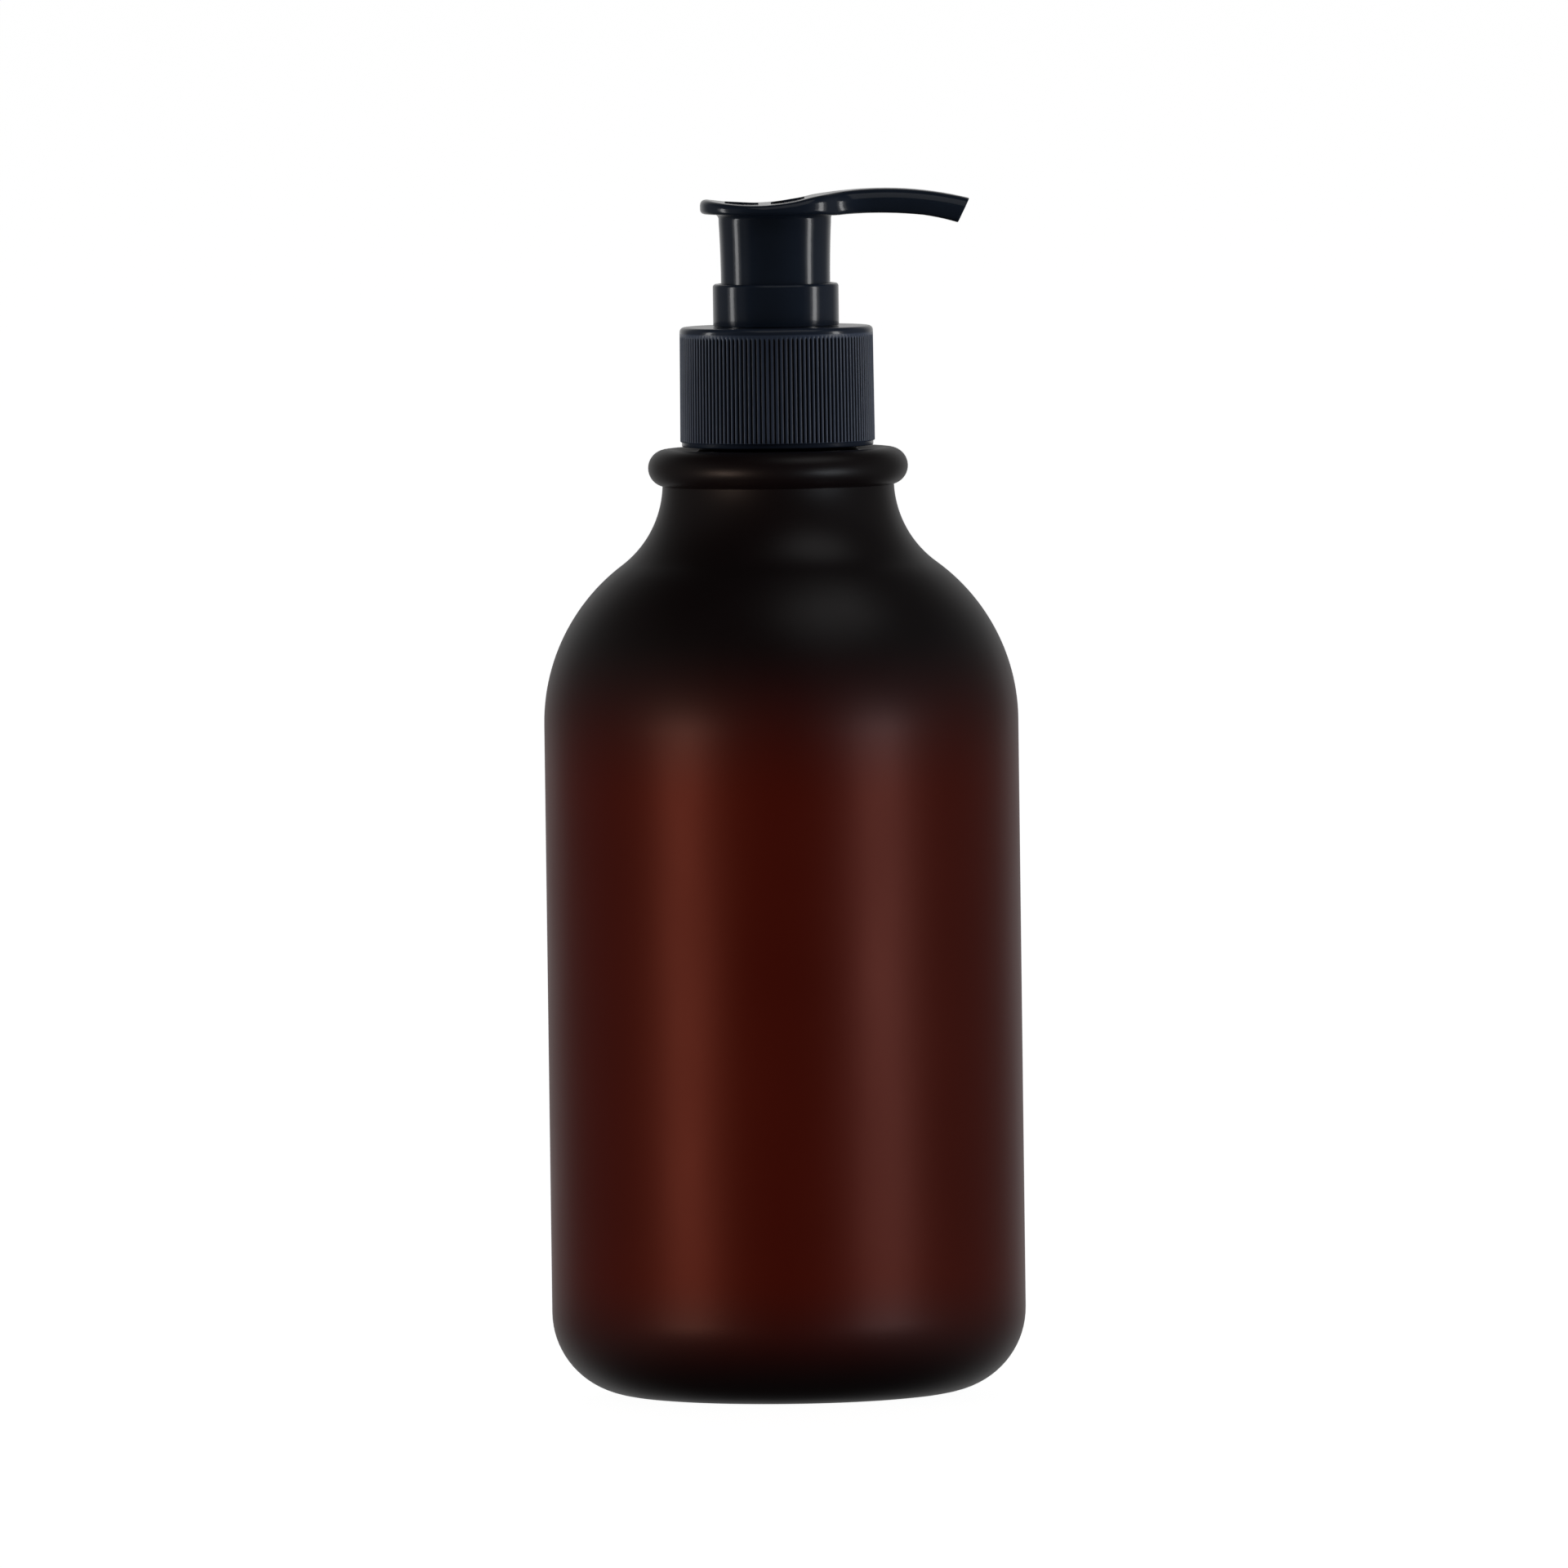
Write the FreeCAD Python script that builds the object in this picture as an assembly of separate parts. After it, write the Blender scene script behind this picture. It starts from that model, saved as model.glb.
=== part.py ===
import FreeCAD, Part
import math
import os

os.makedirs("parts", exist_ok=True)

V = FreeCAD.Vector

# Lotion pump bottle. Millimetres, +Z up. The origin is on the bottle's axis, in the plane that its foot
# stands on. The spout points along +X, and the head is up, as the pump rests.

# ---- Driving dimensions ----------------------------------------------------------------------------
# Bottle: a round-shouldered glass bottle with a bead under its screw neck
body_r = 38.15
glass = 2.6                 # wall
heel_r = 13.3               # round edge between wall and base
foot_width = 4.0            # flat ring that the bottle stands on
punt_rise = 2.2             # how far the middle of the base is pushed up
base_glass = 3.6
shoulder_r = 31.6
shoulder_z = 108.1          # top of the straight wall
neck_sweep_r = 16.6         # hollow curve between shoulder and neck
waist_r = 18.6
bead_centre_r = 17.88
bead_z = 149.1
bead_section_r = 3.02
bead_inner_angle = 130      # where the bead's top runs into the floor round the screw neck
neck_r = 12.6               # screw neck, at the root of its thread
bore_r = 10.8
bore_flare_z = 143.0        # where the bore starts to open into the shoulder
lip_z = 168.45              # sealing face
lip_round = 0.5

# Screw thread, 6 turns per inch, right hand
pitch = 25.4 / 6
neck_turns = 1.5
cap_turns = 1.25
neck_thread_end_z = 166.1   # middle of the neck thread at its upper end
neck_thread_start = 40      # direction of the neck thread's lower end, in degrees from +X
cap_thread_lead = 90        # how much earlier in the turn the closure's thread starts
cap_thread_drop = 1.75      # how far the closure's thread lies under the neck's
thread_root = 0.3           # how far a thread is sunk into its wall
neck_thread_depth = 1.1
neck_thread_root_half = 1.25    # half the thread's width at its root, and at its crest
neck_thread_crest_half = 0.5
cap_thread_depth = 1.05
cap_thread_root_half = 0.9
cap_thread_crest_half = 0.45

# Closure: the ribbed screw cap
cap_r = 15.65
cap_bore_r = 13.9
cap_bottom_z = 152.5
cap_top_z = 171.7
cap_plate = 1.2
cap_hole_r = 9.8
cap_edge_round = 0.75
cap_lead_in = 0.4           # chamfer at the mouth of the bore
cap_band_r = 15.4           # plain band under the ribs
cap_band_height = 0.7
rib_count = 130
rib_depth = 0.3
rib_inset = 0.04            # the ribs' crests lie this far inside the cap's rim
rib_top_gap = 1.4           # from the ribs' upper ends to the cap's top
rib_backing = 0.4           # how far the wall behind the ribs lies under their grooves
rib_sunk = 0.3              # how far the ribs reach into that wall

# Lock ring: sleeve with the visible collar, floor, guide tube and the two blocks that stop the head
collar_r = 10.12
collar_top_z = 178.6
collar_round = 0.5
sleeve_r = 9.7
sleeve_bore_r = 9.2
sleeve_bottom_z = 165.0
ring_floor = 1.2
ring_cap_gap = 0.1          # between the closure's top and the collar
stem_gap = 0.1              # round the stem
ring_plug_r = 6.9
ring_plug_bottom_z = 160.0
guide_r = 4.9
guide_top_z = 169.4
stop_inner_r = 5.2
stop_outer_r = 6.7
stop_top_z = 176.6
stop_half_angle = 30

# Housing: the pump's cylinder with its flange, inlet seat and tail
flange_r = 12.7
flange_z = 169.5
flange_thickness = 0.9
cup_r = 10.5
cup_bore_r = 9.75
cup_floor_z = 163.6
cup_chamfer = 0.5
cup_cone_height = 3.0       # from the cup's lower edge to the barrel
barrel_r = 8.0
barrel_bore_r = 7.0
barrel_bottom_z = 114.8
chamber_r = 4.6
chamber_bore_r = 3.4
chamber_top_z = 112.0
chamber_cone_drop = 1.5     # how far the cone under the barrel reaches below the chamber's top
seat_z = 104.0
seat_hole_r = 1.6
tail_r = 4.8
tail_top_z = 102.6
tail_bottom_z = 92.0
tail_chamfer = 0.4
seat_web = 2.0              # from the seat down to the end of the dip tube's socket
vent_r = 0.6
vent_z = 149.0

# Gasket
gasket_thickness = 1.0

# Dip tube
tube_r = 3.5
tube_bore_r = 2.5
tube_bottom_z = 8.5
tube_cut = 3.0              # slant of the tube's lower end

# Inlet valve
ball_r = 2.4
ball_lift = 1.2
ball_gap = 0.03
cage_r = 3.3
cage_bore_r = 1.9
cage_flange_r = 6.9
cage_flange = 1.2
cage_slots = 3
cage_slot_width = 1.4
cage_slot_top_z = 112.0

# Spring
spring_r = 4.2
wire_r = 0.5
spring_turns = 8

# Piston rod, piston and stem
rod_r = 2.6
rod_bore_r = 1.4
rod_top_z = 160.0
rod_seat_r = 5.0
rod_seat_z = 144.4          # upper face, which the piston closes on
rod_seat_thickness = 1.4
rod_pin_r = 2.4
rod_pin_bottom_z = 133.0
rod_pin_chamfer = 0.5
port_r = 0.8
port_z = 146.2
lost_motion = 1.2           # how far the rod moves before it takes the piston with it
running_gap = 0.05
piston_lip_r = barrel_bore_r - running_gap
piston_waist_r = 6.4
piston_hub_r = 4.2
piston_hub_top_z = 152.3
piston_lip = 0.9
piston_lip_rise = 1.1       # how far the upper lip stands over the hub
piston_lip_edge = 0.3       # width of a lip's flat end
piston_web = 1.2
port_pocket_r = 3.6
port_pocket_top_z = 148.5
stem_r = 4.0
stem_top_z = 184.5
stem_collar_r = 5.2
stem_collar_height = 2.0
stem_collar_chamfer = 0.6

# Head: thumb pad, spout, skirt, socket, channel and lock fingers
pad_r = 12.0
pad_under_z = 189.85
saddle_low = (-3.2, 191.35)         # lowest point of the thumb pad's hollow
saddle_r = 36.2
saddle_end_x = 5.0                  # where the hollow ends and the spout's crown begins
pad_back_round = 1.0
pad_back_fullness = 0.3             # share of the corner that its curve cuts off, both ways
crown_top = (17.2, 193.7)           # highest point of the spout
crown_r = 56.0
spout_under_top = (16.0, 189.8)
spout_under_r = 68.0
tip_top_x = 31.6
tip_under_x = 29.7
spout_half_root = 4.3
spout_half_tip = 3.2
spout_fillet_r = 9.0
rim_round = 0.6
rim_min_height = 0.9                # edges above this and longer than rim_min_length are rounded
rim_min_length = 4.0
skirt_top_r = 9.1
skirt_mid = (8.86, 183.6)
skirt_bottom_r = 8.78
skirt_bottom_z = 177.0
skirt_bore_r = 7.7
socket_r = 5.0
socket_bottom_z = 180.0
chamber_head_r = 2.6
chamber_head_top_z = 188.7
channel_r = 1.4
channel_wall = 1.0
channel_start_z = 187.3
finger_inner_r = 5.3
finger_outer_r = 6.6
finger_half_angle = 12
channel_bend_x = 11.0               # where the sloping channel meets the spout's own curve
head_overlap = 0.4                  # how far skirt, socket and fingers reach into the blade
skirt_overlap = 1.0                 # how far the flat underside reaches past the skirt's wall
liner_overlap = 0.2

# Room round the bodies that cut others
cutter_reach = 1.0
plan_reach = 5.0


# ---- Helpers ---------------------------------------------------------------------------------------
def at(centre, radius, degrees):
    """Point of a circle in the X-Z plane."""
    turn = math.radians(degrees)
    return centre[0] + radius * math.cos(turn), centre[1] + radius * math.sin(turn)


def arc(centre, radius, start, end):
    """Outline step: an arc to the point at angle end, through the one halfway."""
    return at(centre, radius, (start + end) / 2), at(centre, radius, end)


def section(start, *steps):
    """Closed face in the X-Z plane. A step is a point, or a pair of points for an arc."""
    here = V(start[0], 0, start[1])
    edges = []
    for step in steps + (start,):
        if isinstance(step[0], tuple):
            through, end = (V(p[0], 0, p[1]) for p in step)
            edges.append(Part.Arc(here, through, end).toShape())
        else:
            end = V(step[0], 0, step[1])
            if end.distanceToPoint(here) > 1e-6:
                edges.append(Part.LineSegment(here, end).toShape())
        here = end
    return Part.Face(Part.Wire(edges))


def outward(solid):
    """The solid with its faces turned outwards."""
    return solid if solid.Volume > 0 else solid.reversed()


def lathe(start, *steps):
    """Solid turned about the Z axis from an outline of (radius, height) points."""
    return outward(section(start, *steps).revolve(V(0, 0, 0), V(0, 0, 1), 360))


def tube(inner, outer, low, high):
    return lathe((inner, low), (outer, low), (outer, high), (inner, high))


def rod(radius, low, high):
    return Part.makeCylinder(radius, high - low, V(0, 0, low))


def sector(inner, outer, low, high, middle, half):
    """Piece of a tube, half degrees to each side of the direction middle."""
    face = section((inner, low), (outer, low), (outer, high), (inner, high))
    piece = outward(face.revolve(V(0, 0, 0), V(0, 0, 1), 2 * half))
    piece.rotate(V(0, 0, 0), V(0, 0, 1), middle - half)
    return piece


def circles_meet(c1, r1, c2, r2):
    """The lower of the two points where two circles cross."""
    dx, dz = c2[0] - c1[0], c2[1] - c1[1]
    apart = math.hypot(dx, dz)
    along = (r1 ** 2 - r2 ** 2 + apart ** 2) / (2 * apart)
    aside = math.sqrt(r1 ** 2 - along ** 2)
    foot = (c1[0] + along * dx / apart, c1[1] + along * dz / apart)
    both = [(foot[0] + s * aside * dz / apart, foot[1] - s * aside * dx / apart) for s in (1, -1)]
    return min(both, key=lambda p: p[1])


def angle_of(centre, point):
    return math.degrees(math.atan2(point[1] - centre[1], point[0] - centre[0]))


def dome(edge_r, edge_z, rise):
    """Points of a round dome over the axis: its top, halfway down, and its edge."""
    radius = (edge_r ** 2 + rise ** 2) / (2 * rise)
    centre = (0, edge_z + rise - radius)
    edge = (edge_r, edge_z)
    return (0, edge_z + rise), at(centre, radius, (90 + angle_of(centre, edge)) / 2), edge


def sweep(path_edges, profile_edges):
    """Solid that a closed profile leaves along a path."""
    pipe = Part.BRepOffsetAPI.MakePipeShell(Part.Wire(path_edges))
    pipe.setFrenetMode(True)
    pipe.add(Part.Wire(profile_edges))
    pipe.build()
    pipe.makeSolid()
    return outward(pipe.shape())


def thread(turns, root_r, crest_r, half_root, half_crest, middle_z, start_degrees):
    """Screw thread with a four-sided section, whose middle starts at middle_z."""
    path = Part.makeHelix(pitch, pitch * turns, root_r)
    corners = [V(root_r, 0, -half_root), V(crest_r, 0, -half_crest),
               V(crest_r, 0, half_crest), V(root_r, 0, half_root)]
    sides = [Part.LineSegment(corners[i], corners[(i + 1) % 4]).toShape() for i in range(4)]
    solid = sweep(path.Edges, sides)
    solid.rotate(V(0, 0, 0), V(0, 0, 1), start_degrees)
    solid.translate(V(0, 0, middle_z))
    return solid


def save(name, shape):
    if len(shape.Solids) == 1:
        shape = shape.Solids[0]
    print(f"{name}: valid {shape.isValid()}, solids {len(shape.Solids)}, {shape.Volume / 1000:.3f} cm3")
    shape.exportStep(f"parts/{name}.step")


# ---- Sizes that follow from the driving dimensions --------------------------------------------------
shoulder_centre = (body_r - shoulder_r, shoulder_z)
neck_sweep_centre_r = waist_r + neck_sweep_r
sweep_aside = neck_sweep_centre_r - shoulder_centre[0]
neck_sweep_rise = math.sqrt((shoulder_r + neck_sweep_r) ** 2 - sweep_aside ** 2)
neck_sweep_centre = (neck_sweep_centre_r, shoulder_z + neck_sweep_rise)
shoulder_turn = angle_of(shoulder_centre, neck_sweep_centre)     # where shoulder and neck curve touch
bead_centre = (bead_centre_r, bead_z)
neck_thread_z = neck_thread_end_z - pitch * neck_turns
cage_rim_z = seat_z + (ball_r * math.sqrt(2) - seat_hole_r) + ball_gap + ball_lift \
    + math.sqrt(ball_r ** 2 - cage_bore_r ** 2) + ball_gap
cage_top_z = barrel_bottom_z + cage_flange
stem_bottom_z = piston_hub_top_z + lost_motion


# ---- Bottle ----------------------------------------------------------------------------------------
def bottle():
    crease = circles_meet(neck_sweep_centre, neck_sweep_r, bead_centre, bead_section_r)
    heel_centre = (body_r - heel_r, heel_r)
    foot_inner_r = heel_centre[0] - foot_width
    crease_on_neck = angle_of(neck_sweep_centre, crease) % 360
    crease_on_bead = angle_of(bead_centre, crease)
    punt_top, punt_half, punt_edge = dome(foot_inner_r, 0, punt_rise)
    floor_top, floor_half, floor_edge = dome(heel_centre[0], base_glass, punt_rise)
    outside = [
        (punt_half, punt_edge),
        (heel_centre[0], 0),
        arc(heel_centre, heel_r, -90, 0),
        (body_r, shoulder_z),
        arc(shoulder_centre, shoulder_r, 0, shoulder_turn),
        arc(neck_sweep_centre, neck_sweep_r, 180 + shoulder_turn, crease_on_neck),
        arc(bead_centre, bead_section_r, crease_on_bead, bead_inner_angle),
        (neck_r, at(bead_centre, bead_section_r, bead_inner_angle)[1]),
        (neck_r, lip_z - lip_round),
        (neck_r - lip_round, lip_z),
    ]
    inner_heel = (heel_centre[0], heel_r + base_glass - glass)
    flare_sweep_r = neck_sweep_r + glass
    flare_angle = 180 + math.degrees(math.asin((neck_sweep_centre[1] - bore_flare_z) / flare_sweep_r))
    flare_r = at(neck_sweep_centre, flare_sweep_r, flare_angle)[0]
    dome_r = flare_r - bore_r
    inside = [
        (bore_r, lip_z),
        (bore_r, bore_flare_z + dome_r),
        arc((bore_r, bore_flare_z), dome_r, 90, 0),
        arc(neck_sweep_centre, flare_sweep_r, flare_angle, 180 + shoulder_turn),
        arc(shoulder_centre, shoulder_r - glass, shoulder_turn, 0),
        (body_r - glass, inner_heel[1]),
        (at(inner_heel, heel_r - glass, -45), floor_edge),
        (floor_half, floor_top),
    ]
    glass_body = lathe(punt_top, *outside, *inside)
    screw = thread(neck_turns, neck_r - thread_root, neck_r + neck_thread_depth,
                   neck_thread_root_half, neck_thread_crest_half, neck_thread_z, neck_thread_start)
    return glass_body.fuse(screw)


# ---- Closure ---------------------------------------------------------------------------------------
def closure():
    rib_low, rib_high = cap_bottom_z + cap_band_height, cap_top_z - rib_top_gap
    core_r = cap_r - rib_depth - rib_backing
    core = lathe(
        (cap_bore_r, cap_bottom_z + cap_lead_in),
        (cap_bore_r + cap_lead_in, cap_bottom_z),
        (cap_band_r, cap_bottom_z),
        (cap_band_r, rib_low),
        (core_r, rib_low),
        (core_r, rib_high),
        (cap_r, rib_high),
        (cap_r, cap_top_z - cap_edge_round),
        arc((cap_r - cap_edge_round, cap_top_z - cap_edge_round), cap_edge_round, 0, 90),
        (cap_hole_r, cap_top_z),
        (cap_hole_r, cap_top_z - cap_plate),
        (cap_bore_r, cap_top_z - cap_plate),
    )
    thread_z = neck_thread_z - cap_thread_drop - pitch * cap_thread_lead / 360
    screw = thread(cap_turns, cap_bore_r + thread_root, cap_bore_r - cap_thread_depth,
                   cap_thread_root_half, cap_thread_crest_half, thread_z, neck_thread_start - cap_thread_lead)
    return core.fuse(ribs(core_r - rib_sunk, rib_low, rib_high)).fuse(screw)


def ribs(inner_r, low, high):
    """Ring of fine upright ribs, each with a round crest."""
    step = 2 * math.pi / rib_count
    crest_r = cap_r - rib_inset
    radii = (crest_r - rib_depth, crest_r, crest_r - rib_depth)
    edges = []
    for i in range(rib_count):
        angles = [(i + share) * step for share in (0, 0.5, 1)]
        start, through, end = (V(r * math.cos(a), r * math.sin(a), low) for a, r in zip(angles, radii))
        edges.append(Part.Arc(start, through, end).toShape())
    teeth = Part.Face(Part.Wire(edges)).extrude(V(0, 0, high - low))
    return teeth.cut(rod(inner_r, low, high))


# ---- Pump: the pieces that stay with the closure -----------------------------------------------------
def lock_ring():
    body = lathe(
        (stem_r + stem_gap, ring_plug_bottom_z),
        (ring_plug_r, ring_plug_bottom_z),
        (ring_plug_r, sleeve_bottom_z),
        (sleeve_r, sleeve_bottom_z),
        (sleeve_r, cap_top_z + ring_cap_gap),
        (collar_r, cap_top_z + ring_cap_gap),
        (collar_r, collar_top_z - collar_round),
        arc((collar_r - collar_round, collar_top_z - collar_round), collar_round, 0, 90),
        (sleeve_bore_r, collar_top_z),
        (sleeve_bore_r, sleeve_bottom_z + ring_floor),
        (guide_r, sleeve_bottom_z + ring_floor),
        (guide_r, guide_top_z),
        (stem_r + stem_gap, guide_top_z),
    )
    for middle in (0, 180):
        block = sector(stop_inner_r, stop_outer_r, sleeve_bottom_z, stop_top_z, middle, stop_half_angle)
        body = body.fuse(block)
    return body.removeSplitter()


def housing():
    body = lathe(
        (seat_hole_r, seat_z),
        (chamber_bore_r, seat_z + chamber_bore_r - seat_hole_r),
        (chamber_bore_r, barrel_bottom_z),
        (barrel_bore_r, barrel_bottom_z),
        (barrel_bore_r, cup_floor_z),
        (cup_bore_r, cup_floor_z),
        (cup_bore_r, flange_z + flange_thickness),
        (flange_r, flange_z + flange_thickness),
        (flange_r, flange_z),
        (cup_r, flange_z),
        (cup_r, cup_floor_z - cup_chamfer),
        (barrel_r, cup_floor_z - cup_cone_height),
        (barrel_r, barrel_bottom_z),
        (chamber_r, chamber_top_z - chamber_cone_drop),
        (chamber_r, tail_top_z + tail_chamfer),
        (tail_r, tail_top_z),
        (tail_r, tail_bottom_z),
        (tube_r, tail_bottom_z),
        (tube_r, seat_z - seat_web),
        (seat_hole_r, seat_z - seat_web),
    )
    vent_length = barrel_r - barrel_bore_r + 2 * cutter_reach
    vent = Part.makeCylinder(vent_r, vent_length, V(barrel_bore_r - cutter_reach, 0, vent_z), V(1, 0, 0))
    return body.cut(vent)


def gasket():
    return tube(cup_r, flange_r, flange_z - gasket_thickness, flange_z)


def dip_tube():
    body = tube(tube_bore_r, tube_r, tube_bottom_z, seat_z - seat_web)
    reach, low = tube_r + cutter_reach, tube_bottom_z - cutter_reach
    slant = section((-reach, low), (reach, low), (reach, tube_bottom_z + tube_cut))
    slant.translate(V(0, -reach, 0))
    return body.cut(slant.extrude(V(0, 2 * reach, 0)))


def ball_cage():
    body = lathe(
        (cage_bore_r, cage_rim_z),
        (cage_r, cage_rim_z),
        (cage_r, barrel_bottom_z),
        (cage_flange_r, barrel_bottom_z),
        (cage_flange_r, cage_top_z),
        (cage_bore_r, cage_top_z),
    )
    for i in range(cage_slots):
        slot_low = cage_rim_z - cutter_reach
        slot = Part.makeBox(cage_r + cutter_reach, cage_slot_width, cage_slot_top_z - slot_low)
        slot.translate(V(0, -cage_slot_width / 2, slot_low))
        slot.rotate(V(0, 0, 0), V(0, 0, 1), i * 360 / cage_slots)
        body = body.cut(slot)
    return body


def inlet_ball():
    centre_z = seat_z + ball_r * math.sqrt(2) - seat_hole_r + ball_gap
    return Part.makeSphere(ball_r, V(0, 0, centre_z))


# ---- Plunger: the pieces that the head pushes ------------------------------------------------------
def spring():
    height = rod_seat_z - rod_seat_thickness - cage_top_z - 2 * wire_r
    path = Part.makeHelix(height / spring_turns, height, spring_r)
    wire = Part.Circle(V(spring_r, 0, 0), V(0, 1, 0), wire_r).toShape()
    coil = sweep(path.Edges, [wire])
    coil.translate(V(0, 0, cage_top_z + wire_r))
    return coil


def piston_rod():
    body = lathe(
        (0, rod_pin_bottom_z),
        (rod_pin_r - rod_pin_chamfer, rod_pin_bottom_z),
        (rod_pin_r, rod_pin_bottom_z + rod_pin_chamfer),
        (rod_pin_r, rod_seat_z - rod_seat_thickness),
        (rod_seat_r, rod_seat_z - rod_seat_thickness),
        (rod_seat_r, rod_seat_z),
        (rod_r, rod_seat_z),
        (rod_r, rod_top_z),
        (rod_bore_r, rod_top_z),
        (rod_bore_r, port_z - port_r),
        (0, port_z - port_r),
    )
    reach = rod_r + cutter_reach
    port = Part.makeCylinder(port_r, 2 * reach, V(-reach, 0, port_z), V(1, 0, 0))
    return body.cut(port)


def piston():
    hub_bore = rod_r + running_gap
    bottom = rod_seat_z + running_gap
    sleeve_r_in = piston_waist_r - piston_web
    web_low = port_pocket_top_z - 2 * piston_web
    top = piston_hub_top_z + piston_lip_rise
    return lathe(
        (port_pocket_r, bottom),
        (piston_hub_r, bottom),
        (piston_hub_r, web_low),
        (sleeve_r_in, web_low),
        (piston_lip_r - piston_lip_edge, bottom),
        (piston_lip_r, bottom),
        (piston_lip_r, bottom + piston_lip),
        (piston_waist_r, bottom + 2 * piston_lip),
        (piston_waist_r, top - 2 * piston_lip),
        (piston_lip_r, top - piston_lip),
        (piston_lip_r, top),
        (piston_lip_r - piston_lip_edge, top),
        (sleeve_r_in, port_pocket_top_z),
        (piston_hub_r, port_pocket_top_z),
        (piston_hub_r, piston_hub_top_z),
        (hub_bore, piston_hub_top_z),
        (hub_bore, port_pocket_top_z),
        (port_pocket_r, port_pocket_top_z),
    )


def stem():
    under_ring_z = ring_plug_bottom_z - running_gap
    return lathe(
        (rod_r, stem_bottom_z),
        (stem_r, stem_bottom_z),
        (stem_r, under_ring_z - stem_collar_height),
        (stem_collar_r, under_ring_z - stem_collar_height + stem_collar_chamfer),
        (stem_collar_r, under_ring_z),
        (stem_r, under_ring_z),
        (stem_r, stem_top_z),
        (rod_r, stem_top_z),
    )


# ---- Head ------------------------------------------------------------------------------------------
def arc_height(top, radius, x, hollow=False):
    """Height at x of an arc whose highest point is top, or its lowest point on a hollow one."""
    drop = radius - math.sqrt(radius ** 2 - (x - top[0]) ** 2)
    return top[1] + drop if hollow else top[1] - drop


def head_side_face():
    """Side view of pad and spout: a hollow for the thumb, then a crowned spout that dips to its tip."""
    left = -pad_r
    corner = pad_back_round
    corner_inset = corner * pad_back_fullness

    def saddle(x):
        return x, arc_height(saddle_low, saddle_r, x, hollow=True)

    def crown(x):
        return x, arc_height(crown_top, crown_r, x)

    def belly(x):
        return x, arc_height(spout_under_top, spout_under_r, x)

    shared = (saddle_end_x, (saddle(saddle_end_x)[1] + crown(saddle_end_x)[1]) / 2)
    edge = saddle(left + corner)
    belly_x = skirt_top_r - skirt_overlap
    return section(
        (left, pad_under_z),
        (left, edge[1] - corner),
        ((left + corner_inset, edge[1] - corner_inset), edge),
        (saddle(saddle_low[0]), shared),
        (crown(crown_top[0]), crown(tip_top_x)),
        belly(tip_under_x),
        (belly((tip_under_x + belly_x) / 2), belly(belly_x)),
        (belly_x, pad_under_z),
    )


def head_plan_face():
    """Plan view: a round pad that narrows through two hollow curves into the spout."""
    side_slope = (spout_half_root - spout_half_tip) / (tip_top_x - pad_r)
    tip_x = tip_top_x + cutter_reach
    fillet_y = spout_half_root + spout_fillet_r
    fillet_x = math.sqrt((pad_r + spout_fillet_r) ** 2 - fillet_y ** 2)
    lean = math.atan2(fillet_y, fillet_x)
    on_pad = V(pad_r * math.cos(lean), pad_r * math.sin(lean), 0)
    on_spout = V(fillet_x, spout_half_root, 0)
    middle_turn = (lean + math.pi + 1.5 * math.pi) / 2
    through = V(fillet_x + spout_fillet_r * math.cos(middle_turn),
                fillet_y + spout_fillet_r * math.sin(middle_turn), 0)
    tip = V(tip_x, spout_half_tip - side_slope, 0)

    def other(p):
        return V(p.x, -p.y, 0)

    edges = [
        Part.Arc(on_pad, V(-pad_r, 0, 0), other(on_pad)).toShape(),
        Part.Arc(other(on_pad), other(through), other(on_spout)).toShape(),
        Part.LineSegment(other(on_spout), other(tip)).toShape(),
        Part.LineSegment(other(tip), tip).toShape(),
        Part.LineSegment(tip, on_spout).toShape(),
        Part.Arc(on_spout, through, on_pad).toShape(),
    ]
    return Part.Face(Part.Wire(edges))


def head_blade():
    """Pad and spout in one, with rounded rims."""
    side = head_side_face()
    reach = pad_r + cutter_reach
    side.translate(V(0, -reach, 0))
    across = side.extrude(V(0, 2 * reach, 0))
    plan = head_plan_face()
    plan.translate(V(0, 0, pad_under_z - plan_reach))
    blade = across.common(plan.extrude(V(0, 0, 3 * plan_reach))).removeSplitter()
    rim_low = pad_under_z + rim_min_height
    rims = [e for e in blade.Edges if e.CenterOfMass.z > rim_low and e.Length > rim_min_length]
    return blade.makeFillet(rim_round, rims)


def channel():
    """Way of the liquid from the stem to the tip: up a slope, then along the spout's own curve."""
    def middle(x):
        upper = arc_height(crown_top, crown_r, x)
        return upper - (crown_top[1] - spout_under_top[1]) / 2

    bend = V(channel_bend_x, 0, middle(channel_bend_x))
    start = V(0, 0, channel_start_z)
    slope = Part.makeCylinder(channel_r, (bend - start).Length, start, bend - start)
    knee = Part.makeSphere(channel_r, bend)
    end_x = tip_top_x + cutter_reach
    half_x = (channel_bend_x + end_x) / 2
    path = Part.Arc(bend, V(half_x, 0, middle(half_x)), V(end_x, 0, middle(end_x)))
    ahead = path.tangent(path.FirstParameter)[0]
    ring = Part.Circle(bend, ahead, channel_r).toShape()
    bore = sweep([path.toShape()], [ring])
    sleeve = Part.makeCylinder(channel_r + channel_wall, (bend - start).Length, start, bend - start)
    return slope.fuse([knee, bore]), sleeve


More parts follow.
